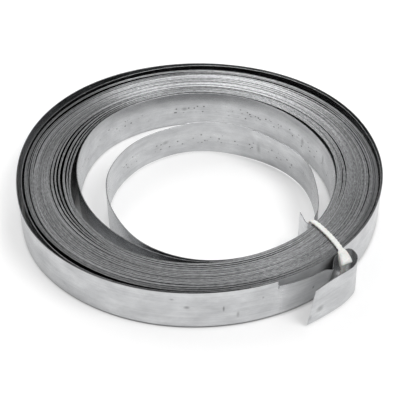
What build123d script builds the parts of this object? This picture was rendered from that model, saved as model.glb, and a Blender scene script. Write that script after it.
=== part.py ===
"""A loose coil of galvanized steel strip, lying flat and held by one cable tie.

The strip is one solid. Most of its turns lie tight together in a few groups, which
are turned rings whose ends are grooved between the turns. Each group leans against
the next one on the side of the tie and stands off it on the far side. The slack
turns are runs of tangent arcs: two loops inside the bore, which begin in a hook
round the tie, and the two outermost turns, which end in a fold over the tie and a tail.
The coil leans by the thickness of the tie's lower run, which lies under it.
"""

import os
from math import asin, cos, radians, sin, sqrt

from build123d import *

os.makedirs("parts", exist_ok=True)

# Strip
strip_width = 25.0
strip_thickness = 0.5

# Groups of tight turns, from the bore outwards: centre x, centre y, inner and outer radius
turn_groups = [
    (4.6, -2.6, 84.3, 85.6),
    (3.6, -2.2, 86.4, 88.2),
    (2.4, -1.4, 89.2, 104.4),
    (2.9, -0.2, 104.6, 108.4),
]

# Gaps between turns that open on each end of a group: their width, and one for each such build-up
turn_gap = 0.7
gap_pitch = 3.5

# Inner end, hooked round the tie: where it starts, its heading, then its straight length and bend
hook_start = (59.2, -47.5)
hook_heading = -75.0
hook_straight = 8.0
hook_radius = 2.8
hook_turn = 143.0

# Slack turns as tangent arcs, each a radius and a sweep in degrees
first_loop = [(76.0, 33.9), (68.8, 69.6), (59.1, 106.2), (91.7, 19.9), (61.1, 74.9)]
second_loop = [(54.7, 19.4), (102.4, 19.6), (86.1, 80.4), (74.5, 98.6), (94.1, 75.8), (57.1, 39.1)]
second_loop_radius = 89.5
second_loop_angle = -46.0
loose_turn = [(116.4, 75.2), (107.8, 97.9), (113.5, 42.3), (125.9, 46.3), (90.0, 29.6), (112.8, 79.5)]
loose_turn_radius = 110.6
loose_turn_angle = -46.0
last_turn = [(121.2, 59.7), (104.1, 28.0), (116.3, 62.0), (106.5, 56.6), (150.2, 27.8), (95.9, 34.6), (118.9, 54.9)]

# Outer end: a crease, the bulge that runs in under the tie, the fold back, and the tail
crease_radius = 3.0
crease_turn = 8.0
bulge_radius = 61.4
bulge_turn = 45.2
fold_radius = 4.7
fold_turn = 180.3
tail_radius = 63.0
tail_turn = 20.0
tail_straight = 16.3
tail_slant = 6.5

# Cable tie
tie_width = 3.6
tie_thickness = 1.2
tie_corner = 1.0
tie_clearance = 0.05
head_width = 6.4
head_depth = 4.2
head_height = 6.6
head_round = 0.8

# How the coil lies: the middle of its box from the coil's centre, the direction of the tie,
# and how far the tie's inner run and the far rim are from the centre
centre_x = -1.7
centre_y = -3.8
tie_direction = -42.0
tie_reach = 85.0
rim_reach = 118.0

lean = asin(tie_thickness / (tie_reach + rim_reach))
lift = tie_thickness * rim_reach / (tie_reach + rim_reach)
up = Vector(
    -sin(lean) * cos(radians(tie_direction)),
    -sin(lean) * sin(radians(tie_direction)),
    cos(lean),
)
coil = Plane(origin=(centre_x, centre_y, lift), x_dir=(up.Z, 0, -up.X), z_dir=up)


def around(radius, angle):
    """The point of the coil's plane at this radius and angle from its centre."""
    return Vector(radius * cos(radians(angle)), radius * sin(radians(angle)))


def bend(start, heading, radius, turn):
    """Lay one arc of strip and give where it ends and its heading there."""
    arc = JernArc(start, heading, radius, turn)
    return arc @ 1, arc % 1


def run_straight(start, heading, length):
    """Lay one straight of strip and give where it ends and its heading there."""
    line = Line(start, start + heading * length)
    return line @ 1, line % 1


def bend_centre(start, heading, radius, turn):
    """The centre of the arc that starts here, to the left for a positive turn."""
    side = 1 if turn > 0 else -1
    return start + Vector(-heading.Y, heading.X) * (side * radius)


with BuildPart() as steel_strip:
    # Tight turns
    for group_x, group_y, inner_radius, outer_radius in turn_groups:
        origin = coil.from_local_coords(Vector(group_x, group_y))
        build = outer_radius - inner_radius
        gaps = int(build / gap_pitch)
        with BuildSketch(Plane(origin=origin, x_dir=coil.x_dir, z_dir=-coil.y_dir)):
            with Locations(((inner_radius + outer_radius) / 2, strip_width / 2)):
                Rectangle(build, strip_width)
            for gap in range(gaps):
                gap_radius = inner_radius + build * (gap + 1) / (gaps + 1)
                with Locations((gap_radius, 0), (gap_radius, strip_width)):
                    Rectangle(turn_gap, turn_gap, rotation=45, mode=Mode.SUBTRACT)
        revolve(axis=Axis(origin, coil.z_dir))

    # Inner end and first slack loop
    with BuildSketch(coil):
        with BuildLine():
            point = Vector(*hook_start)
            heading = around(1, hook_heading)
            point, heading = run_straight(point, heading, hook_straight)
            hook_centre = bend_centre(point, heading, hook_radius, hook_turn)
            point, heading = bend(point, heading, hook_radius, hook_turn)
            for radius, turn in first_loop:
                point, heading = bend(point, heading, radius, turn)
        trace(line_width=strip_thickness)
    extrude(amount=strip_width)

    # Second slack loop
    with BuildSketch(coil):
        with BuildLine():
            point = around(second_loop_radius, second_loop_angle)
            heading = around(1, second_loop_angle + 90)
            for radius, turn in second_loop:
                point, heading = bend(point, heading, radius, turn)
        trace(line_width=strip_thickness)
    extrude(amount=strip_width)

    # Last turn but one
    with BuildSketch(coil):
        with BuildLine():
            point = around(loose_turn_radius, loose_turn_angle)
            heading = around(1, loose_turn_angle + 90)
            for radius, turn in loose_turn:
                point, heading = bend(point, heading, radius, turn)
        trace(line_width=strip_thickness)
    extrude(amount=strip_width)

    # Last turn, which goes on from it, with the fold and the tail
    with BuildSketch(coil):
        with BuildLine():
            for radius, turn in last_turn:
                point, heading = bend(point, heading, radius, turn)
            point, heading = bend(point, heading, crease_radius, -crease_turn)
            point, heading = bend(point, heading, bulge_radius, bulge_turn)
            fold_centre = bend_centre(point, heading, fold_radius, -fold_turn)
            point, heading = bend(point, heading, fold_radius, -fold_turn)
            point, heading = bend(point, heading, tail_radius, -tail_turn)
            tail_tip, tail_heading = run_straight(point, heading, tail_straight)
        trace(line_width=strip_thickness)
    extrude(amount=strip_width)

    # Slanted cut across the tail's end
    tip = coil.from_local_coords(tail_tip)
    tail_back = (coil.from_local_coords(tail_tip - tail_heading) - tip).normalized()
    tail_side = Plane(origin=tip, x_dir=tail_back, z_dir=tail_back.cross(coil.z_dir))
    with BuildSketch(tail_side):
        with BuildLine():
            Polyline((0, 0), (tail_slant, strip_width), (0, strip_width), close=True)
        make_face()
    extrude(amount=strip_thickness, both=True, mode=Mode.SUBTRACT)

# The tie runs straight from inside the hook to inside the fold
tie_from = coil.from_local_coords(hook_centre)
tie_to = coil.from_local_coords(fold_centre)
tie_span = (tie_to - tie_from).length
tie_along = (tie_to - tie_from).normalized()
tie_section = Plane(origin=tie_from, x_dir=tie_along, z_dir=tie_along.cross(coil.z_dir))

half_tie = tie_width / 2
hook_inside = hook_radius - strip_thickness / 2
fold_inside = fold_radius - strip_thickness / 2
inner_face = sqrt(hook_inside**2 - half_tie**2) - tie_clearance
outer_face = tie_span - sqrt(fold_inside**2 - half_tie**2) + tie_clearance
head_middle = strip_width + tie_thickness - head_height / 2

with BuildPart() as cable_tie:
    # Band round the section
    with BuildSketch(tie_section):
        with Locations(((inner_face + outer_face) / 2, strip_width / 2)):
            RectangleRounded(
                outer_face - inner_face + 2 * tie_thickness,
                strip_width + 2 * tie_thickness,
                tie_corner,
            )
            Rectangle(outer_face - inner_face, strip_width, mode=Mode.SUBTRACT)
    extrude(amount=half_tie, both=True)

    # Head at the outer top edge
    with BuildSketch(tie_section):
        with Locations((outer_face + tie_thickness + head_depth / 2, head_middle)):
            RectangleRounded(head_depth, head_height, head_round)
    extrude(amount=head_width / 2, both=True)

steel_strip.part.label = "steel_strip"
cable_tie.part.label = "cable_tie"
export_step(steel_strip.part, "parts/steel_strip.step")
export_step(cable_tie.part, "parts/cable_tie.step")
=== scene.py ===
import math

import bpy
import numpy as np
from mathutils import Matrix, Vector


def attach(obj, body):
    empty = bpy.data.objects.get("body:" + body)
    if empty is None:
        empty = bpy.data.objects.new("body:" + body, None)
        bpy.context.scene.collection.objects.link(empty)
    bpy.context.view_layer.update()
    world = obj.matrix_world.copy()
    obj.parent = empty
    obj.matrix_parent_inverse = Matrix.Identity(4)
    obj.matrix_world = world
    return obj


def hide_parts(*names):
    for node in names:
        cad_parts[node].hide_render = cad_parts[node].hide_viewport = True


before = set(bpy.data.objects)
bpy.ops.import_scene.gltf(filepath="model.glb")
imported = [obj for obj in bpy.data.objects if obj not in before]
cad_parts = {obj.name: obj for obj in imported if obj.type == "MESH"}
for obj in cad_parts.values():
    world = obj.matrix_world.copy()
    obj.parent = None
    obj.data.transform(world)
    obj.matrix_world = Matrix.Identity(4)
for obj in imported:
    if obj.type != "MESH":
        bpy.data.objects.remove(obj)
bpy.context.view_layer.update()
print("frame loaded, nodes:", ", ".join(sorted(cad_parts)))

mm = 0.001

# The coil's own plane: it leans on the tie's lower run, which lies under it
lie = {
    "centre": (-1.7, -3.8),      # mm, coil centre from the origin
    "tieDirection": -42.0,       # degrees, 0 is +X and 90 is the back
    "tieReach": 85.0, "rimReach": 118.0, "tieThickness": 1.2,
}
leanAngle = math.asin(lie["tieThickness"] / (lie["tieReach"] + lie["rimReach"]))
lift = lie["tieThickness"] * lie["rimReach"] / (lie["tieReach"] + lie["rimReach"])
toTie = math.radians(lie["tieDirection"])
upAxis = Vector((
    -math.sin(leanAngle) * math.cos(toTie), -math.sin(leanAngle) * math.sin(toTie), math.cos(leanAngle)))
rightAxis = Vector((upAxis.z, 0, -upAxis.x)).normalized()
backAxis = upAxis.cross(rightAxis)
coilMatrix = Matrix.Translation(Vector((lie["centre"][0], lie["centre"][1], lift)) * mm) @ Matrix(
    (rightAxis, backAxis, upAxis)).transposed().to_4x4()
coilTurn = np.array(coilMatrix.to_3x3())
coilShift = np.array(coilMatrix.translation)


def toWorld(points):
    # millimetres in the coil's plane to metres in the shared frame: turn, then shift
    return points @ coilTurn.T * mm + coilShift


def linear(hexColour):
    # sRGB hex to linear: ((c + 0.055) / 1.055) ^ 2.4 above the toe
    channels = [int(hexColour[i:i + 2], 16) / 255 for i in (1, 3, 5)]
    return tuple(c / 12.92 if c <= 0.04045 else ((c + 0.055) / 1.055) ** 2.4 for c in channels) + (1.0,)


def addNode(tree, kind, settings):
    # one node: each setting is a choice of the node, a value of an input, or the output that feeds it
    node = tree.nodes.new(kind)
    for key, value in settings.items():
        if isinstance(value, bpy.types.NodeSocket):
            tree.links.new(value, node.inputs[key])
        elif isinstance(key, int) or key in node.inputs:
            node.inputs[key].default_value = value
        else:
            setattr(node, key, value)
    return node


def newMaterial(name):
    # a material with an empty node tree, and that tree
    material = bpy.data.materials.new(name)
    material.use_nodes = True
    material.node_tree.nodes.clear()
    return material, material.node_tree


def throughPoints(table, at, repeats=True):
    # a smooth curve through (azimuth, value) pairs, repeating every turn where it says so:
    # cubic between neighbours, with the slope at each pair taken from both sides
    x, y = np.array(sorted(table)).T
    if repeats:
        x, y = np.concatenate([x - 360, x, x + 360]), np.tile(y, 3)
    slope = np.gradient(y, x)
    k = np.clip(np.searchsorted(x, at, side="right") - 1, 0, len(x) - 2)
    gap = x[k + 1] - x[k]
    t = (at - x[k]) / gap
    return (y[k] * (2 * t**3 - 3 * t**2 + 1) + slope[k] * gap * (t**3 - 2 * t**2 + t)
            + y[k + 1] * (3 * t**2 - 2 * t**3) + slope[k + 1] * gap * (t**3 - t**2))


def movingMean(values, reach):
    # each value becomes the mean of its neighbours within reach, the ends held
    kernel = np.ones(2 * reach + 1) / (2 * reach + 1)
    return np.convolve(np.pad(values, reach, mode="edge"), kernel, mode="valid")


def layArc(start, heading, radius, turn, step):
    # an arc of a path: points on a circle of this radius, from start, turning left for a positive turn
    side = math.copysign(1, turn)
    h = math.radians(heading)
    centre = np.array(start) + side * radius * np.array([-math.sin(h), math.cos(h)])
    a = np.radians(np.linspace(0, turn, max(3, int(abs(turn) / step) + 2)))[1:]
    swing = h - side * math.pi / 2 + a
    return centre + radius * np.column_stack([np.cos(swing), np.sin(swing)]), heading + turn


def sweepMesh(name, rings, uv=None, caps=True, closedRun=False, sharpColumns=(), sharpRings=(),
              materialOfColumn=None):
    # a tube through rings of points (run, across, xyz): a quad between each two neighbours on both ways
    runs, across = rings.shape[:2]
    i, j = np.meshgrid(np.arange(runs if closedRun else runs - 1), np.arange(across), indexing="ij")
    i2, j2 = (i + 1) % runs, (j + 1) % across
    quads = np.stack([i * across + j, i2 * across + j, i2 * across + j2, i * across + j2], -1).reshape(-1, 4)
    corners = quads.ravel()
    starts = np.arange(len(quads)) * 4
    counts = np.full(len(quads), 4)
    if caps and not closedRun:
        ends = [np.arange(across), np.arange(across)[::-1] + (runs - 1) * across]
        starts = np.concatenate([starts, len(corners) + np.arange(2) * across])
        counts = np.concatenate([counts, [across, across]])
        corners = np.concatenate([corners] + ends)
    mesh = bpy.data.meshes.new(name)
    mesh.vertices.add(runs * across)
    mesh.vertices.foreach_set("co", toWorld(rings.reshape(-1, 3)).ravel())
    mesh.loops.add(len(corners))
    mesh.loops.foreach_set("vertex_index", corners.astype(np.int32))
    mesh.polygons.add(len(starts))
    mesh.polygons.foreach_set("loop_start", starts.astype(np.int32))
    mesh.polygons.foreach_set("loop_total", counts.astype(np.int32))
    mesh.polygons.foreach_set("use_smooth", np.ones(len(starts), bool))
    if materialOfColumn is not None:
        ofCaps = np.zeros(len(starts) - len(quads), int)
        pick = np.concatenate([np.asarray(materialOfColumn)[j.ravel()], ofCaps])
        mesh.polygons.foreach_set("material_index", pick.astype(np.int32))
    mesh.update(calc_edges=True)
    if len(sharpColumns):
        ends = np.empty(len(mesh.edges) * 2, np.int32)
        mesh.edges.foreach_get("vertices", ends)
        ends = ends.reshape(-1, 2)
        column, ring = ends % across, ends // across
        alongRun = (column[:, 0] == column[:, 1]) & np.isin(column[:, 0], sharpColumns)
        atRings = (ring[:, 0] == ring[:, 1]) & np.isin(ring[:, 0], [0, runs - 1, *sharpRings])
        mark = mesh.attributes.new("sharp_edge", "BOOLEAN", "EDGE")
        mark.data.foreach_set("value", alongRun | atRings)
    if uv is not None:
        layer = mesh.uv_layers.new(name="stripRun")
        layer.data.foreach_set("uv", uv.reshape(-1, 2)[corners].ravel())
    mesh.validate()
    piece = bpy.data.objects.new(name, mesh)
    bpy.context.collection.objects.link(piece)
    return piece


# The strip: one ribbon from the hook at the tie, through the slack loops and the tight turns,
# to the crease, the fold over the tie and the tail. Radii in mm are from the coil's centre.
strip = {
    "width": 25.0, "thickness": 0.46, "edgeBevel": 0.09, "clearance": 0.005,
    "hookStart": (59.2, -47.5), "hookHeading": -75.0, "hookStraight": 8.0,
    "hookRadius": 2.8, "hookTurn": 143.0,
    # (azimuth in degrees, radius) pairs: the innermost slack loop at its lower edge and at its upper edge,
    # which leans in, then the second loop
    "firstLoop": [(-42, 86.8), (-35, 84.5), (-26, 80.0), (-18, 76.2), (-6, 71.8), (5, 68.2), (13, 65.0),
                  (19, 62.5), (28, 58.9), (36, 55.6), (46, 52.6), (55, 50.4), (65, 48.9), (74, 47.9),
                  (84, 47.3), (94, 46.8), (104, 46.3), (114, 45.9), (126, 45.7), (138, 46.4), (147, 47.1),
                  (157, 48.0), (170, 50.3), (182, 52.9), (194, 56.2), (204, 59.0), (214, 62.6),
                  (224, 66.6), (232, 70.3), (241, 75.4), (250, 79.8), (258, 82.9), (266, 85.6),
                  (275, 87.6), (285, 88.3), (300, 88.2), (318, 88.3)],
    "firstLoopTop": [(-42, 86.8), (-35, 84.3), (-26, 79.0), (-18, 74.6), (-6, 70.2), (5, 65.8),
                     (10, 63.3), (17, 59.4), (26, 55.0), (36, 52.3), (46, 50.3), (55, 48.9), (70, 46.6),
                     (84, 45.2), (95, 43.8), (106, 42.4), (118, 41.9), (131, 42.8), (145, 44.5),
                     (157, 46.5), (170, 49.0), (182, 52.2), (194, 56.0), (204, 59.0), (214, 62.6),
                     (224, 66.6), (232, 70.3), (241, 75.4), (250, 79.8), (258, 82.9), (266, 85.6),
                     (275, 87.6), (285, 88.3), (300, 88.2), (318, 88.3)],
    "secondLoop": [(-42, 88.3), (-35, 87.6), (-25, 86.3), (-18, 85.5), (-10, 84.8), (0, 83.8), (9, 82.9),
                   (18, 81.7), (30, 80.8), (45, 80.4), (60, 80.4), (75, 80.4), (90, 80.2), (105, 79.5),
                   (120, 78.7), (135, 78.2), (145, 77.5), (155, 76.0), (165, 74.8), (175, 73.9),
                   (185, 73.5), (198, 73.7), (210, 74.8), (220, 76.2), (230, 77.9), (240, 80.0),
                   (249, 82.4), (260, 85.5), (268, 87.7), (275, 88.7), (290, 88.85), (318, 88.9)],
    # tight turns: the first one, and where the last of them lies
    "tightTurns": 43,
    "innerLine": [(-42, 88.9), (-35, 88.3), (-25, 87.0), (-18, 86.4), (-10, 86.0), (0, 85.5), (10, 85.2),
                  (20, 84.2), (30, 83.5), (40, 82.8), (50, 82.2), (60, 81.8), (75, 81.8), (90, 81.7),
                  (100, 81.2), (110, 80.5), (120, 79.9), (135, 79.2), (145, 78.3), (150, 77.7),
                  (160, 76.6), (170, 76.0), (180, 76.2), (190, 77.4), (200, 79.2), (210, 81.6),
                  (220, 83.2), (230, 84.9), (235, 86.1), (240, 87.0), (250, 88.2), (260, 88.8),
                  (268, 89.1), (285, 89.2), (300, 89.0)],
    "outerLine": [(-42, 110.9), (-20, 110.8), (0, 110.8), (15, 110.5), (30, 110.6), (40, 110.8),
                  (60, 110.9), (80, 110.8), (90, 110.6), (100, 110.2), (110, 109.8), (120, 109.4),
                  (130, 108.6), (140, 107.7), (150, 107.2), (160, 106.7), (170, 105.9), (180, 105.3),
                  (190, 105.1), (200, 105.6), (210, 107.0), (220, 108.1), (230, 108.7), (240, 109.5),
                  (250, 110.1), (260, 110.5), (270, 110.7), (285, 110.75), (300, 110.8)],
    # the two last turns stand off the rest
    "lastButOne": [(-42, 110.9), (-30, 111.2), (-15, 111.6), (0, 112.2), (10, 112.7), (20, 113.7),
                   (30, 115.0), (40, 116.1), (50, 116.7), (65, 116.7), (80, 116.6), (90, 116.3),
                   (100, 115.4), (110, 114.3), (120, 113.1), (130, 111.8), (140, 110.5), (150, 109.3),
                   (160, 108.2), (170, 107.3), (180, 106.9), (190, 106.8), (200, 107.3), (210, 108.4),
                   (220, 109.8), (226, 110.7), (233, 111.5), (240, 111.8), (250, 111.8), (262, 111.5),
                   (275, 111.3), (290, 111.3), (305, 111.35), (318, 111.4)],
    "last": [(-42, 111.4), (-33, 111.75), (-15, 112.25), (-8, 112.9), (0, 113.6), (10, 114.6),
             (20, 116.0), (30, 117.5), (40, 118.7), (50, 119.4), (60, 119.75), (75, 119.85), (90, 119.8),
             (100, 119.6), (110, 119.4), (120, 119.0), (130, 118.1), (140, 116.7), (150, 115.0),
             (160, 113.1), (170, 111.3), (180, 110.1), (190, 109.7), (200, 110.4), (208, 111.5),
             (216, 112.1), (225, 112.3), (240, 112.4), (260, 112.2), (270, 111.9), (280, 111.85),
             (292, 111.85)],
    # gaps that open between tight turns: after which turn, then (azimuth, mm) pairs
    "openings": [
        (0, [(-42, 0), (0, 0), (228, 0), (250, 0.3), (275, 0.42), (300, 0.38), (312, 0.15)]),
        (2, [(-42, 0), (0, 0), (235, 0), (255, 0.3), (280, 0.4), (300, 0.35), (312, 0.15)]),
        (4, [(-42, 0), (0, 0), (240, 0), (258, 0.35), (285, 0.5), (300, 0.45), (312, 0.15)]),
        (1, [(-42, 0), (100, 0), (120, 0.3), (145, 0.6), (160, 0.8), (180, 0.8), (190, 0.6), (205, 0),
             (300, 0)]),
        (3, [(-42, 0), (2, 0), (14, 0.5), (50, 0.5), (70, 0.35), (100, 0.35), (120, 0.5), (145, 0.8),
             (180, 0.95), (190, 0.9), (200, 0.5), (210, 0.2), (222, 0), (300, 0)]),
        (5, [(-42, 0), (-28, 0), (-16, 0.5), (-4, 0.5), (8, 0), (150, 0), (300, 0)]),
        (6, [(-42, 0), (122, 0), (140, 0.6), (150, 1.0), (165, 1.4), (180, 1.6), (192, 1.6), (200, 1.3),
             (210, 0.9), (220, 0.7), (230, 0.5), (246, 0), (300, 0)]),
        (8, [(-42, 0), (-14, 0), (-3, 0.45), (10, 0.5), (20, 0.35), (32, 0), (128, 0), (150, 0.8),
             (180, 1.1), (200, 1.0), (215, 0.7), (230, 0.4), (245, 0), (300, 0)]),
        (10, [(-42, 0), (136, 0), (160, 0.6), (180, 0.9), (205, 0.8), (220, 0.6), (232, 0.5), (246, 0.2),
              (256, 0), (300, 0)]),
        (13, [(-42, 0), (158, 0), (180, 0.5), (210, 0.6), (240, 0.45), (256, 0.2), (268, 0), (300, 0)]),
        (32, [(-42, 0), (-34, 0), (-24, 0.5), (0, 0.65), (20, 0.45), (33, 0), (160, 0), (300, 0)]),
        (33, [(-42, 0), (122, 0), (136, 0.4), (155, 0.55), (176, 0.5), (188, 0), (300, 0)]),
        (34, [(-42, 0), (-4, 0), (8, 0.45), (30, 0.5), (50, 0.4), (60, 0), (160, 0), (300, 0)]),
        (36, [(-42, 0), (26, 0), (38, 0.7), (60, 1.0), (90, 1.0), (118, 0.8), (138, 0), (300, 0)]),
        (37, [(-42, 0), (170, 0), (183, 0.5), (200, 0.6), (215, 0.5), (224, 0), (300, 0)]),
        (38, [(-42, 0), (78, 0), (92, 0.7), (108, 1.6), (125, 2.1), (140, 2.1), (152, 1.5), (163, 0.8),
              (180, 0.4), (190, 0), (300, 0)]),
    ],
    # outer end, from the crease on: where the lower edge and the upper edge of the strip run. The strip leans
    # out, swings back in before the tie, turns back on itself round the tie and ends in a slanted cut
    "creaseAzimuth": -67.6, "creaseReach": 6.0,
    "lowerEdge": [(42.7, -103.38), (45.49, -102.18), (52.51, -98.76), (59.27, -94.85), (64.15, -91.62),
                  (67.62, -89.09), (69.47, -87.65), (70.99, -86.43), (73.08, -84.67), (74.84, -83.12),
                  (76.28, -81.85), (78.05, -80.35), (80.05, -78.75), (82.8, -77.2), (85.9, -77.3),
                  (87.7, -79.7), (88.1, -83.4), (86.9, -87.3), (84.4, -90.9), (79.6, -96.3),
                  (74.7, -100.4), (65.9, -106.8), (58.5, -111.6)],
    "upperEdge": [(42.2, -107.0), (46.6, -105.75), (53.6, -103.2), (60.6, -99.85), (65.6, -96.7),
                  (69.6, -94.95), (72.0, -94.75), (73.15, -92.6), (73.5, -89.2), (73.9, -86.0),
                  (75.1, -83.5), (77.5, -81.45), (79.9, -79.75), (82.2, -78.7), (84.4, -79.3),
                  (85.9, -81.6), (86.6, -84.8), (86.0, -88.0), (84.1, -91.9), (78.5, -96.8),
                  (73.7, -100.4), (66.5, -106.3), (61.6, -110.6)],
    "foldKey": 15,                   # the point of both edges from which the strip folds over the tie
    # loose play: how evenly the turns share it, and the azimuth round which the back's sharing holds
    "playEvenness": 0.7, "playAzimuth": 100,
    # mm by which a turn stands higher or lower, how far along it that changes, and the degrees from the tie
    # within which nothing rises and over which it sets in
    "unevenness": 0.45, "unevenSpan": 130.0, "levelByTie": 8, "riseSetsIn": 14,
    # degrees between points, how many of them on either side are averaged, and of how many one is kept in
    # the tight turns
    "step": 1.0, "smoothing": 5, "tightStep": 4,
    "seed": 7,
}
# the stretches of the strip that are not tight turns, which are numbered from 0
stretch = {
    "hook": -3, "firstLoop": -2, "secondLoop": -1,
    "lastButOne": strip["tightTurns"], "last": strip["tightTurns"] + 1, "leaning": 99, "foldAndTail": 100,
}


def stripPath(p):
    # radius as a function of the turned angle: a loop's own table, or the first tight turn plus a pitch
    # for each turn wound since, plus every gap that opens inside this turn
    draw = np.random.default_rng(p["seed"])
    tight = p["tightTurns"]
    start = -40.0
    stop = p["creaseAzimuth"] + 360 * (tight + 4)
    angle = np.append(np.arange(start, stop - 0.3, p["step"]), stop)
    fromTie = angle - lie["tieDirection"]
    azimuth = fromTie % 360 + lie["tieDirection"]
    since = fromTie / 360 - 2                        # turns wound since the two slack loops
    turn = np.floor(fromTie / 360 + 1e-9).astype(int) - 2

    inner = throughPoints(p["innerLine"], azimuth)
    outer = throughPoints(p["outerLine"], azimuth)
    opened = np.zeros_like(angle)
    openTotal = np.zeros_like(angle)
    for after, table in p["openings"]:
        width = np.maximum(throughPoints(table, azimuth), 0)
        opened += width * (turn > after)
        openTotal += width
    least = p["thickness"] + p["clearance"]
    loose = np.maximum(outer - inner - openTotal - least * tight, 0)
    # the loose play is shared out unevenly, and differently at the back and at the front
    sums = [np.concatenate([[0], np.cumsum(draw.gamma(p["playEvenness"], 1, tight))]) for _ in range(2)]
    mix = 0.5 + 0.5 * np.cos(np.radians(azimuth - p["playAzimuth"]))
    grown = np.clip(since, 0, tight)
    atBack, atFront = [np.interp(grown, np.arange(tight + 1), total / total[-1]) for total in sums]
    share = mix * atBack + (1 - mix) * atFront
    squeeze = (outer - inner - openTotal - loose) / tight
    radius = inner + squeeze * since + loose * share + opened
    for name in ("firstLoop", "secondLoop", "lastButOne", "last"):
        radius = np.where(turn == stretch[name], throughPoints(p[name], azimuth, False), radius)
    leansIn = turn == stretch["firstLoop"]
    topRadius = np.where(leansIn, throughPoints(p["firstLoopTop"], azimuth, False), radius)
    reach = p["smoothing"]
    radius, topRadius = [movingMean(movingMean(values, reach), reach) for values in (radius, topRadius)]

    isTight = (turn >= 0) & (turn < tight)
    keep = ~isTight | (np.arange(len(angle)) % p["tightStep"] == 0)
    a = np.radians(angle[keep])
    low, top = [np.column_stack([r[keep] * np.cos(a), r[keep] * np.sin(a)]) for r in (radius, topRadius)]
    return low, top, turn[keep]


def alongKeys(keys, at):
    # a smooth plan curve through key points, by the running distance that both edges share
    columns = [throughPoints(list(zip(at[0], column)), at[1], False) for column in np.array(keys).T]
    return np.column_stack(columns)


def stripPoints(p):
    # the plan points of the strip's lower and upper edge, each one's turn or stretch, and the crease's index
    spiral, spiralTop, turn = stripPath(p)
    heading = math.radians(p["hookHeading"])
    way = np.array([math.cos(heading), math.sin(heading)])
    straight = np.linspace(0, 1, 5)[:, None] * p["hookStraight"] * way + np.array(p["hookStart"])
    hook, _ = layArc(straight[-1], p["hookHeading"], p["hookRadius"], p["hookTurn"], 9)
    body, bodyTop = [np.concatenate([straight, hook, points[2:]]) for points in (spiral, spiralTop)]

    edges = [np.array(p["lowerEdge"]), np.array(p["upperEdge"])]
    gaps = sum(np.hypot(*np.diff(edge, axis=0).T) for edge in edges) / 2
    passed = np.concatenate([[0], np.cumsum(gaps)])
    at = (passed, np.linspace(0, passed[-1] - 1e-6, 140))
    lower = np.concatenate([body, alongKeys(p["lowerEdge"], at)])
    upper = np.concatenate([bodyTop, alongKeys(p["upperEdge"], at)])
    ofHook = np.full(len(straight) + len(hook), stretch["hook"])
    ofEnd = np.where(at[1] < passed[p["foldKey"]], stretch["leaning"], stretch["foldAndTail"])
    turn = np.concatenate([ofHook, turn[2:], ofEnd])
    return lower, upper, turn, len(body)


def headings(points):
    # unit vectors along a plan curve
    ahead = np.gradient(points, axis=0)
    return ahead / np.maximum(np.hypot(*ahead.T), 1e-9)[:, None]


def makeStrip(p):
    # a flat bar's outline, bevelled at its long edges, carried along the lower edge's path and held upright,
    # and pushed out by the lean: point = path + outward * across + lean * h, h being the height over the
    # width. At the crease the lean sets in as a step at the upper edge and softly below: smoothstep over a
    # reach of (1 - h) ^ 0.7
    lower, upper, turn, creaseRing = stripPoints(p)
    count = len(lower)
    run = np.concatenate([[0], np.cumsum(np.hypot(*np.diff(lower, axis=0).T))])
    azimuth = np.degrees(np.arctan2(lower[:, 1], lower[:, 0]))
    lean = upper - lower
    loopLean = np.where(np.arange(count)[:, None] < creaseRing, lean, 0)
    lean[:creaseRing] = lean[creaseRing]
    aheadLow, aheadUp = headings(lower), headings(upper)
    atCrease = slice(creaseRing - 2, creaseRing + 1)
    aheadUp[atCrease] = aheadLow[atCrease]
    outLow = np.column_stack([aheadLow[:, 1], -aheadLow[:, 0]])
    outUp = np.column_stack([aheadUp[:, 1], -aheadUp[:, 0]])

    # the section: six rows up each face, closer together near the top where the crease sets in, and two
    # points on each slit edge
    t, c, w = p["thickness"] / 2, p["edgeBevel"], p["width"]
    rows = np.array([c, 0.3 * w, 0.6 * w, 0.8 * w, 0.93 * w, w - c])
    across = np.concatenate([np.full(6, t), [t - c, c - t], np.full(6, -t), [c - t, t - c]])
    height = np.concatenate([rows, [w, w], rows[::-1], [0, 0]])
    sections = len(height)

    # from the second tight turn to the last but one, each stands a little higher or lower than the next,
    # but not by the tie
    draw = np.random.default_rng(p["seed"] + 1)
    knots = np.arange(0, run[-1] + 200, p["unevenSpan"])
    rise = np.interp(run, knots, draw.uniform(0, p["unevenness"], len(knots)))
    fromTie = np.abs((azimuth - lie["tieDirection"] + 180) % 360 - 180)
    awayFromTie = np.clip((fromTie - p["levelByTie"]) / p["riseSetsIn"], 0, 1)
    rise = rise * awayFromTie * (turn <= stretch["lastButOne"]) * (turn >= 1)

    h = height / w
    reach = p["creaseReach"] * (1 - h) ** 0.7 + 1e-3
    past = np.clip(0.5 + (run - run[creaseRing] + 1e-6)[:, None] / (2 * reach), 0, 1)
    push = h * past * past * (3 - 2 * past)
    up = h[None, :, None]
    x = lower[:, None] + loopLean[:, None] * up + lean[:, None] * push[:, :, None]
    x = x + (outLow[:, None] * (1 - up) + outUp[:, None] * up) * across[None, :, None]
    z = height[None, :] + rise[:, None]
    rings = np.concatenate([x, z[:, :, None]], -1)
    uv = np.stack([np.repeat(run[:, None], sections, 1), np.repeat(height[None, :], count, 0)], -1) * mm
    face, edge = 0, 1
    piece = sweepMesh(
        "steelStrip", rings, uv, sharpColumns=[0, 5, 6, 7, 8, 13, 14, 15],
        sharpRings=[creaseRing - 1, creaseRing], materialOfColumn=([face] * 5 + [edge] * 3) * 2)
    print("steel strip: %d rings, %.1f m long, %d faces" % (count, run[-1] * mm, len(piece.data.polygons)))
    return piece, {"run": run * mm, "turn": turn, "azimuth": azimuth}


steelStrip, laid = makeStrip(strip)
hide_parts("steel_strip")
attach(steelStrip, "root")


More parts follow.
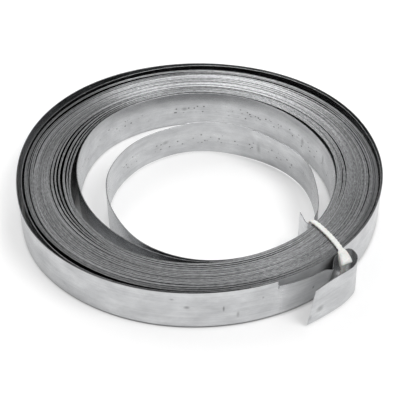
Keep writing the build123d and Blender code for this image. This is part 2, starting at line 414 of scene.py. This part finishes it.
# The cable tie: a band round the section, and its head, which lies tilted over the outer top corner.
# Sizes are in mm and directions in degrees
tie = {
    "from": (63.975, -54.503), "direction": -63.45,      # the hook's centre, and where the band heads
    "inner": 1.75, "outer": 34.7,                        # faces of what it holds along that line
    # how far the top run bows sideways along that line, and the lower run at its two ends
    "bow": [(-1, 0.1), (1.2, 0.2), (4, 1.0), (9, 1.7), (14, 2.05), (20, 2.1), (26, 1.7), (30, 1.1),
            (35.3, -0.3), (37, -0.4)],
    "lowerBow": (0.2, -0.3),
    "width": 3.5, "thickness": 1.2, "corner": 0.8, "headCorner": 3.8, "topClearance": 0.04, "step": 0.2,
    "toothPitch": 1.0, "toothDepth": 0.10, "toothShare": 0.36,     # share of the width on either side
    "scallopPitch": 2.6, "scallopDepth": 0.34,
    # each level of the head, from the band's entry on: place along that line, height, offset, width, depth
    "head": [(29.6, 25.6, 1.1, 3.7, 1.1), (29.9, 25.5, 1.1, 4.3, 1.5), (30.4, 25.3, 1.05, 4.8, 2.0),
             (31.5, 24.75, 0.95, 5.4, 2.8), (33.2, 23.6, 0.75, 6.2, 3.8), (35.2, 22.25, 0.5, 7.0, 4.4),
             (36.2, 21.5, 0.4, 7.2, 4.4), (36.6, 21.2, 0.35, 7.0, 4.1), (36.8, 21.05, 0.35, 6.4, 3.5)],
}


def tiePlace(p, along, across, up):
    # coordinates of the tie's own plane to the coil's plane
    a = math.radians(p["direction"])
    way, side = np.array([math.cos(a), math.sin(a)]), np.array([-math.sin(a), math.cos(a)])
    flat = np.array(p["from"]) + along[..., None] * way + across[..., None] * side
    return np.concatenate([flat, up[..., None]], -1)


def makeTieBand(p):
    # a rounded bar carried round a rounded rectangle, bowed sideways over the top, with teeth and scalloped
    # edges: outward offset - depth * sawtooth of the run, width - depth * (1 - cosine of the run)
    t, c, w = p["thickness"], p["corner"], strip["width"]
    x0, x1, z0, z1 = p["inner"] - t / 2, p["outer"] + t / 2, -t / 2, w + p["topClearance"] + t / 2
    corners = [(x1, z1, 90, p["headCorner"]), (x0, z1, 180, c), (x0, z0, 270, c), (x1, z0, 360, c)]
    arcs = []
    for x, z, stop, radius in corners:
        cx, cz = x + math.copysign(radius, x0 - x + 1), z + math.copysign(radius, z0 - z + 1)
        a = np.radians(np.linspace(stop - 90, stop, 9))
        arcs.append(np.column_stack([cx + radius * np.cos(a), cz + radius * np.sin(a)]))
    path = []
    for arc, following in zip(arcs, arcs[1:] + arcs[:1]):
        gap = following[0] - arc[-1]
        steps = int(np.hypot(*gap) / p["step"])
        path += [arc, arc[-1] + np.linspace(0, 1, steps + 1)[1:-1, None] * gap]
    path = np.concatenate(path)
    ahead = np.roll(path, -1, 0) - np.roll(path, 1, 0)
    ahead /= np.hypot(*ahead.T)[:, None]
    out = np.column_stack([ahead[:, 1], -ahead[:, 0]])
    run = np.concatenate([[0], np.cumsum(np.hypot(*np.diff(path, axis=0).T))])
    high = np.clip(path[:, 1] / w, 0, 1)
    lowerBow = np.interp(path[:, 0], [x0, x1], p["lowerBow"])
    bow = throughPoints(p["bow"], path[:, 0], False) * high + lowerBow * (1 - high)

    # outline of the band: a superellipse of power 5, flat on both wide sides
    a = np.linspace(0, 2 * np.pi, 16, endpoint=False) + np.pi / 16
    size = (np.abs(np.cos(a)) ** 5 + np.abs(np.sin(a)) ** 5) ** -0.2
    side, thick = size * np.cos(a) * p["width"] / 2, size * np.sin(a) * t / 2
    tooth = (run / p["toothPitch"]) % 1.0 * p["toothDepth"]
    middle = (np.abs(side) < p["width"] * p["toothShare"]) & (thick > 0)
    depth = thick[None, :] - tooth[:, None] * middle[None, :]
    narrowing = 1 - p["scallopDepth"] / p["width"] * (1 - np.cos(2 * np.pi * run / p["scallopPitch"]))
    along = path[:, 0:1] + out[:, 0:1] * depth
    up = path[:, 1:2] + out[:, 1:2] * depth
    rings = tiePlace(p, along, bow[:, None] - side[None, :] * narrowing[:, None], up)
    return sweepMesh("cableTieBand", rings, closedRun=True, caps=False)


def makeTieHead(p):
    # a stack of superelliptic outlines square to the line from the band's entry to the head's foot
    x, z, offset, wide, deep = np.array(p["head"]).T
    tilt = math.atan2(z[-2] - z[1], x[-2] - x[1])
    a = np.linspace(0, 2 * np.pi, 32, endpoint=False)
    size = (np.abs(np.cos(a)) ** 5 + np.abs(np.sin(a)) ** 5) ** -0.2
    across = offset[:, None] + size * np.cos(a) * wide[:, None] / 2
    thick = size * np.sin(a) * deep[:, None] / 2
    along = x[:, None] - math.sin(tilt) * thick
    up = z[:, None] + math.cos(tilt) * thick
    return sweepMesh("cableTieHead", tiePlace(p, along, across, up), sharpRings=[6])


tieBand = makeTieBand(tie)
tieHead = makeTieHead(tie)
for piece in (tieBand, tieHead):
    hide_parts("cable_tie")
    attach(piece, "root")
print("cable tie: band and head")


# Materials

def runAt(turn, azimuth):
    # how far along the strip, in metres, this azimuth of this turn or named stretch lies
    near = np.where(laid["turn"] == stretch.get(turn, turn))[0]
    away = np.abs((laid["azimuth"][near] - azimuth + 180) % 360 - 180)
    return float(laid["run"][near[np.argmin(away)]])


wearAndShade = {
    # dark smudges on the faces, and patches of painted shade: stretch, azimuth in degrees, height, half
    # length, half height in mm, strength
    "smudgesAndShade": [
        ("last", -92.8, 14.5, 1.6, 1.1, 0.45), ("last", -83.5, 12.5, 0.6, 2.0, 0.55),
        ("last", -79.0, 7.0, 0.8, 2.2, 0.35), ("last", -97.5, 20.0, 1.1, 0.7, 0.35),
        ("last", -72.0, 16.0, 0.6, 0.7, 0.4), ("leaning", -56.5, 13.0, 0.7, 1.2, 0.6),
        # the full-height patches at -48.5, -49.5 and -60 degrees are painted shade beside the tie, and the
        # long bands at 92 and 35 degrees under the second loop's top edge are a painted reflection of shaded
        # floor
        ("leaning", -48.5, 14.0, 5.5, 26.0, 0.6), ("lastButOne", -49.5, 14.0, 9.0, 30.0, 0.6),
        ("lastButOne", -60.0, 14.0, 16.0, 30.0, 0.28), ("secondLoop", 92.0, 24.0, 95.0, 6.5, 0.45),
        ("secondLoop", 35.0, 23.5, 45.0, 6.5, 0.35), ("foldAndTail", -59.0, 8.5, 2.6, 2.2, 0.38),
        ("foldAndTail", -62.0, 5.0, 1.0, 1.5, 0.3), ("secondLoop", 30.0, 12.0, 1.5, 3.0, 0.35),
        ("secondLoop", 12.0, 14.0, 1.2, 4.0, 0.35), ("firstLoop", 40.0, 11.0, 1.5, 4.0, 0.30),
        ("firstLoop", 118.0, 13.0, 2.5, 1.5, 0.35), ("secondLoop", 96.0, 12.5, 2.0, 1.5, 0.35),
    ],
    "fleckRow": (7.5, 15.0),        # mm of height between which small dark flecks lie along the slack loops
    "fleckPitch": 3.7,              # mm between flecks
    # stretches between two azimuths where the face is dulled, and in mm how softly that ends
    "dulled": [("lastButOne", -76, -44), ("leaning", -67, -46)], "dulledEnd": 6.0,
    "edgeShadeByTie": (-53, -46),       # azimuths of the leaning stretch between which its slit edges are painted dark, as painted shade beside the tie
    "outerTurn": 37,                # from this turn on the slit edges are painted partly darker
}

# Hot-dip galvanized steel, cold rolled and passed through oil: a semi-bright grey metal that gives
# broad soft reflections, with faint lengthwise drag lines, cloudy dull patches and dark oil flecks
steelFinish, tree = newMaterial("galvanizedStripFace")
place = addNode(tree, "ShaderNodeUVMap", {"uv_map": "stripRun"})
split = addNode(tree, "ShaderNodeSeparateXYZ", {0: place.outputs["UV"]})
runAlong, heightUp = split.outputs[0], split.outputs[1]
# drag lines about 1 mm apart, and cloudy patches of about 15 mm
drawn = addNode(tree, "ShaderNodeMapping", {"Scale": (12, 900, 1), "Vector": place.outputs["UV"]})
lines = addNode(tree, "ShaderNodeTexNoise", {"Scale": 1.0, "Detail": 3.0, "Vector": drawn.outputs[0]})
clouded = addNode(tree, "ShaderNodeMapping", {"Scale": (60, 110, 1), "Vector": place.outputs["UV"]})
clouds = addNode(tree, "ShaderNodeTexNoise", {
    "Scale": 1.0, "Detail": 5.0, "Roughness": 0.62, "Vector": clouded.outputs[0]})
both = addNode(tree, "ShaderNodeMath", {
    "operation": "MULTIPLY_ADD", 0: lines.outputs["Fac"], 1: 0.35, 2: clouds.outputs["Fac"]})
shade = addNode(tree, "ShaderNodeValToRGB", {"Fac": both.outputs[0]})
shade.color_ramp.elements[0].position, shade.color_ramp.elements[0].color = 0.45, linear("#BEBFC1")
shade.color_ramp.elements[1].position, shade.color_ramp.elements[1].color = 0.95, linear("#E6E7E8")

# flecks of dried oil: small spots of a cell pattern in clusters, kept to a row along the slack loops
fleckScale = (1000 / wearAndShade["fleckPitch"], 1300 / wearAndShade["fleckPitch"], 1)
spots = addNode(tree, "ShaderNodeMapping", {"Scale": fleckScale, "Vector": place.outputs["UV"]})
cells = addNode(tree, "ShaderNodeTexVoronoi", {"Scale": 1.0, "Randomness": 1.0, "Vector": spots.outputs[0]})
flecks = addNode(tree, "ShaderNodeMapRange", {
    "From Min": 0.09, "From Max": 0.22, "To Min": 0.9, "To Max": 0.0, "Value": cells.outputs["Distance"]})
# the clusters are about 30 mm apart
bunched = addNode(tree, "ShaderNodeMapping", {"Scale": (28, 0, 1), "Vector": place.outputs["UV"]})
bunches = addNode(tree, "ShaderNodeTexNoise", {"Scale": 1.0, "Detail": 1.0, "Vector": bunched.outputs[0]})
bunch = addNode(tree, "ShaderNodeMapRange", {
    "From Min": 0.36, "From Max": 0.44, "Value": bunches.outputs["Fac"]})
rowLow, rowHigh = wearAndShade["fleckRow"]
row = addNode(tree, "ShaderNodeMath", {
    "operation": "COMPARE", 0: heightUp, 1: (rowLow + rowHigh) / 2 * mm, 2: (rowHigh - rowLow) / 2 * mm})
slackEnd = runAt(0, lie["tieDirection"])
slack = addNode(tree, "ShaderNodeMath", {"operation": "LESS_THAN", 0: runAlong, 1: slackEnd})
marksAndShade = flecks.outputs[0]
for mask in (bunch, row, slack):
    kept = addNode(tree, "ShaderNodeMath", {"operation": "MULTIPLY", 0: marksAndShade, 1: mask.outputs[0]})
    marksAndShade = kept.outputs[0]
# each smudge, or patch of painted shade, darkens the colour within its ellipse
for name, azimuth, middle, halfLong, halfHigh, strength in wearAndShade["smudgesAndShade"]:
    at = addNode(tree, "ShaderNodeMapping", {
        "Location": (-runAt(name, azimuth) / (halfLong * mm), -middle / halfHigh, 0),
        "Scale": (1 / (halfLong * mm), 1 / (halfHigh * mm), 1), "Vector": place.outputs["UV"]})
    away = addNode(tree, "ShaderNodeVectorMath", {"operation": "LENGTH", 0: at.outputs[0]})
    patch = addNode(tree, "ShaderNodeMapRange", {
        "From Min": 0.3, "From Max": 1.3, "To Min": strength, "To Max": 0.0, "Value": away.outputs["Value"]})
    joined = addNode(tree, "ShaderNodeMath", {"operation": "MAXIMUM", 0: marksAndShade, 1: patch.outputs[0]})
    marksAndShade = joined.outputs[0]

# inside the pack the faces are painted darker, as painted shade for the deep gaps between the turns; from the
# crease to the tie, and on the turn behind, the strip is dulled
packEnd = runAt(strip["tightTurns"] - 1, lie["tieDirection"] - 2)
packed = addNode(tree, "ShaderNodeMath", {
    "operation": "COMPARE", 0: runAlong, 1: (slackEnd + packEnd) / 2, 2: (packEnd - slackEnd) / 2})
dulled = 0.0
for name, fromAzimuth, toAzimuth in wearAndShade["dulled"]:
    begin, end = runAt(name, fromAzimuth), runAt(name, toAzimuth)
    off = addNode(tree, "ShaderNodeMath", {"operation": "SUBTRACT", 0: runAlong, 1: (begin + end) / 2})
    away = addNode(tree, "ShaderNodeMath", {"operation": "ABSOLUTE", 0: off.outputs[0]})
    here = addNode(tree, "ShaderNodeMapRange", {
        "From Min": (end - begin) / 2 - wearAndShade["dulledEnd"] * mm, "From Max": (end - begin) / 2,
        "To Min": 1.0, "To Max": 0.0, "Value": away.outputs[0]})
    dulled = addNode(tree, "ShaderNodeMath", {"operation": "ADD", 0: here.outputs[0], 1: dulled}).outputs[0]
# painted shade: the packed turns take a dark grey
packShade = addNode(tree, "ShaderNodeMix", {
    "data_type": "RGBA", 0: packed.outputs[0], 6: shade.outputs["Color"], 7: linear("#4A4B4C")})
# the flecks, smudges and painted shade mix the colour toward dark grey
markedAndShaded = addNode(tree, "ShaderNodeMix", {
    "data_type": "RGBA", 0: marksAndShade, 6: packShade.outputs[2], 7: linear("#3C3C3C")})
gloss = addNode(tree, "ShaderNodeMapRange", {
    "From Min": 0.4, "From Max": 0.95, "To Min": 0.17, "To Max": 0.29, "Value": both.outputs[0]})
rough = addNode(tree, "ShaderNodeMath", {
    "operation": "MULTIPLY_ADD", 0: dulled, 1: 0.32, 2: gloss.outputs[0]})
metal = addNode(tree, "ShaderNodeMath", {"operation": "MULTIPLY_ADD", 0: dulled, 1: -0.5, 2: 1.0})
bump = addNode(tree, "ShaderNodeBump", {"Strength": 0.12, "Distance": 0.0001, "Height": lines.outputs["Fac"]})
shader = addNode(tree, "ShaderNodeBsdfPrincipled", {
    "Base Color": markedAndShaded.outputs[2], "Roughness": rough.outputs[0], "Metallic": metal.outputs[0],
    "Normal": bump.outputs[0]})
addNode(tree, "ShaderNodeOutputMaterial", {"Surface": shader.outputs[0]})

# The same strip's slit edges: bare sheared steel, satin, its tone changing from turn to turn and in short
# streaks, painted partly darker on the outer turns, and wholly dark beside the tie as painted shade
edgeFinish, tree = newMaterial("slitSteelEdge")
place = addNode(tree, "ShaderNodeUVMap", {"uv_map": "stripRun"})
# a tone holds for about 100 mm, and the streaks are about 3 mm long
spread = addNode(tree, "ShaderNodeMapping", {"Scale": (9, 1, 1), "Vector": place.outputs["UV"]})
tone = addNode(tree, "ShaderNodeTexNoise", {
    "Scale": 1.0, "Detail": 2.0, "Roughness": 0.7, "Vector": spread.outputs[0]})
streaked = addNode(tree, "ShaderNodeMapping", {"Scale": (330, 1, 1), "Vector": place.outputs["UV"]})
streaks = addNode(tree, "ShaderNodeTexNoise", {"Scale": 1.0, "Detail": 1.0, "Vector": streaked.outputs[0]})
both = addNode(tree, "ShaderNodeMath", {
    "operation": "MULTIPLY_ADD", 0: streaks.outputs["Fac"], 1: 0.6, 2: tone.outputs["Fac"]})
shade = addNode(tree, "ShaderNodeValToRGB", {"Fac": both.outputs[0]})
shade.color_ramp.elements[0].position, shade.color_ramp.elements[0].color = 0.50, linear("#38393B")
shade.color_ramp.elements[1].position, shade.color_ramp.elements[1].color = 1.05, linear("#A6A7A8")
runAlong = addNode(tree, "ShaderNodeSeparateXYZ", {0: place.outputs["UV"]}).outputs[0]
begin, end = [runAt("leaning", azimuth) for azimuth in wearAndShade["edgeShadeByTie"]]
shadedByTie = addNode(tree, "ShaderNodeMath", {
    "operation": "COMPARE", 0: runAlong, 1: (begin + end) / 2, 2: (end - begin) / 2})
outerTurns = addNode(tree, "ShaderNodeMath", {
    "operation": "GREATER_THAN", 0: runAlong, 1: runAt(wearAndShade["outerTurn"], lie["tieDirection"])})
partly = addNode(tree, "ShaderNodeMath", {
    "operation": "MULTIPLY_ADD", 0: outerTurns.outputs[0], 1: 0.4, 2: shadedByTie.outputs[0]})
edgeDarkened = addNode(tree, "ShaderNodeMath", {"operation": "MINIMUM", 0: partly.outputs[0], 1: 1.0})
# painted shade beside the tie, and a darker tone on the outer turns
shade = addNode(tree, "ShaderNodeMix", {
    "data_type": "RGBA", 0: edgeDarkened.outputs[0], 6: shade.outputs["Color"], 7: linear("#3A3A3B")})
shader = addNode(tree, "ShaderNodeBsdfPrincipled", {
    "Metallic": 1.0, "Roughness": 0.34, "Base Color": shade.outputs[2]})
addNode(tree, "ShaderNodeOutputMaterial", {"Surface": shader.outputs[0]})
steelStrip.data.materials.append(steelFinish)
steelStrip.data.materials.append(edgeFinish)

# Natural nylon 6/6, injection moulded: milky white, slightly see-through, satin
nylonFinish, tree = newMaterial("mouldedWhiteNylon")
place = addNode(tree, "ShaderNodeTexCoord", {})
# grain of about 1 mm
grain = addNode(tree, "ShaderNodeTexNoise", {
    "Scale": 900.0, "Detail": 2.0, "Vector": place.outputs["Object"]})
shade = addNode(tree, "ShaderNodeValToRGB", {"Fac": grain.outputs["Fac"]})
shade.color_ramp.elements[0].position, shade.color_ramp.elements[0].color = 0.3, linear("#DCDCD8")
shade.color_ramp.elements[1].position, shade.color_ramp.elements[1].color = 0.7, linear("#ECECE8")
bump = addNode(tree, "ShaderNodeBump", {"Strength": 0.15, "Distance": 0.0001, "Height": grain.outputs["Fac"]})
shader = addNode(tree, "ShaderNodeBsdfPrincipled", {
    "Roughness": 0.38, "IOR": 1.53, "Subsurface Weight": 0.15, "Subsurface Scale": 0.002,
    "Base Color": shade.outputs["Color"], "Normal": bump.outputs[0]})
addNode(tree, "ShaderNodeOutputMaterial", {"Surface": shader.outputs[0]})
for piece in (tieBand, tieHead):
    piece.data.materials.append(nylonFinish)
print("materials done")


# Studio: a white floor, a pale world and soft lamps
studio = {
    "floorSize": 6.0, "worldStrength": 0.55, "floorGlow": 0.34, "floorGlowInMetal": 0.19,
    "key": {"place": (0.9, -0.5, 1.5), "size": 0.9, "power": 14.0},
    "fill": {"place": (-0.8, 0.9, 1.3), "size": 1.2, "power": 6.0},
    "back": {"place": (0.11, 1.25, 0.74), "size": 0.3, "power": 3.2},
}


def seenDirectly(tree):
    # the light path, and 1 on what the camera sees straight or through a clear piece
    path = addNode(tree, "ShaderNodeLightPath", {})
    return path, addNode(tree, "ShaderNodeMath", {
        "operation": "MAXIMUM", 0: path.outputs["Is Camera Ray"], 1: path.outputs["Is Transmission Ray"]})


half = studio["floorSize"] / 2
floorMesh = bpy.data.meshes.new("studioFloor")
floorCorners = [(-half, -half, 0), (half, -half, 0), (half, half, 0), (-half, half, 0)]
floorMesh.from_pydata(floorCorners, [], [(0, 1, 2, 3)])
floor = bpy.data.objects.new("studioFloor", floorMesh)
bpy.context.collection.objects.link(floor)
paper, tree = newMaterial("whitePaperSweep")
path, seen = seenDirectly(tree)
inMetal = addNode(tree, "ShaderNodeMath", {
    "operation": "MULTIPLY", 0: path.outputs["Is Glossy Ray"], 1: studio["floorGlowInMetal"]})
glow = addNode(tree, "ShaderNodeMath", {
    "operation": "MULTIPLY_ADD", 0: seen.outputs[0], 1: studio["floorGlow"], 2: inMetal.outputs[0]})
# the glow leaves out what lies under the strip, so a dark line stays where it meets the floor
closed = addNode(tree, "ShaderNodeAmbientOcclusion", {"samples": 8, "Distance": 0.008})
uncovered = addNode(tree, "ShaderNodeMapRange", {
    "From Min": 0.4, "From Max": 0.55, "Value": closed.outputs["AO"]})
glow = addNode(tree, "ShaderNodeMath", {"operation": "MULTIPLY", 0: glow.outputs[0], 1: uncovered.outputs[0]})
matt = addNode(tree, "ShaderNodeBsdfDiffuse", {"Color": linear("#DDDDDD")})
lit = addNode(tree, "ShaderNodeEmission", {"Color": (1, 1, 1, 1), "Strength": glow.outputs[0]})
shader = addNode(tree, "ShaderNodeAddShader", {0: matt.outputs[0], 1: lit.outputs[0]})
addNode(tree, "ShaderNodeOutputMaterial", {"Surface": shader.outputs[0]})
floor.data.materials.append(paper)

world = bpy.data.worlds.new("studioWorld")
world.use_nodes = True
tree = world.node_tree
tree.nodes.clear()
path, seen = seenDirectly(tree)
level = addNode(tree, "ShaderNodeMapRange", {
    "To Min": studio["worldStrength"], "To Max": 1.0, "Value": seen.outputs[0]})
sky = addNode(tree, "ShaderNodeBackground", {"Color": (1, 1, 1, 1), "Strength": level.outputs[0]})
addNode(tree, "ShaderNodeOutputWorld", {"Surface": sky.outputs[0]})
bpy.context.scene.world = world

for name in ("key", "fill", "back"):
    lampData = bpy.data.lights.new(name + "Lamp", "AREA")
    lampData.shape = "DISK"
    lampData.size = studio[name]["size"]
    lampData.energy = studio[name]["power"]
    lamp = bpy.data.objects.new(name + "Lamp", lampData)
    lamp.location = studio[name]["place"]
    lamp.rotation_euler = (-Vector(studio[name]["place"])).to_track_quat("-Z", "Y").to_euler()
    bpy.context.collection.objects.link(lamp)

# Camera, placed from the coil's plane as the photo sees it
camera = {
    "distance": 563.0, "elevation": 38.98, "roll": 0.437,      # mm and degrees
    "focalPixels": 888.64, "centrePixels": (196.965, 194.805), "imagePixels": 400, "sensorWidth": 36.0,
}
e, roll = math.radians(camera["elevation"]), math.radians(camera["roll"])
forward = Vector((0, math.cos(e), -math.sin(e)))
right, up = Vector((1, 0, 0)), Vector((0, math.sin(e), math.cos(e)))
turnedRight = right * math.cos(roll) - up * math.sin(roll)
turnedUp = right * math.sin(roll) + up * math.cos(roll)
cameraMatrix = Matrix.Translation(-forward * camera["distance"] * mm) @ Matrix(
    (turnedRight, turnedUp, -forward)).transposed().to_4x4()
cameraData = bpy.data.cameras.new("photoCamera")
cameraData.sensor_width = camera["sensorWidth"]
cameraData.lens = camera["focalPixels"] * camera["sensorWidth"] / camera["imagePixels"]
cameraData.shift_x = (camera["imagePixels"] / 2 - camera["centrePixels"][0]) / camera["imagePixels"]
cameraData.shift_y = (camera["centrePixels"][1] - camera["imagePixels"] / 2) / camera["imagePixels"]
cameraObject = bpy.data.objects.new("photoCamera", cameraData)
cameraObject.matrix_world = coilMatrix @ cameraMatrix
bpy.context.collection.objects.link(cameraObject)
bpy.context.scene.camera = cameraObject
bpy.context.scene.view_settings.view_transform = "Standard"
print("studio and camera done")
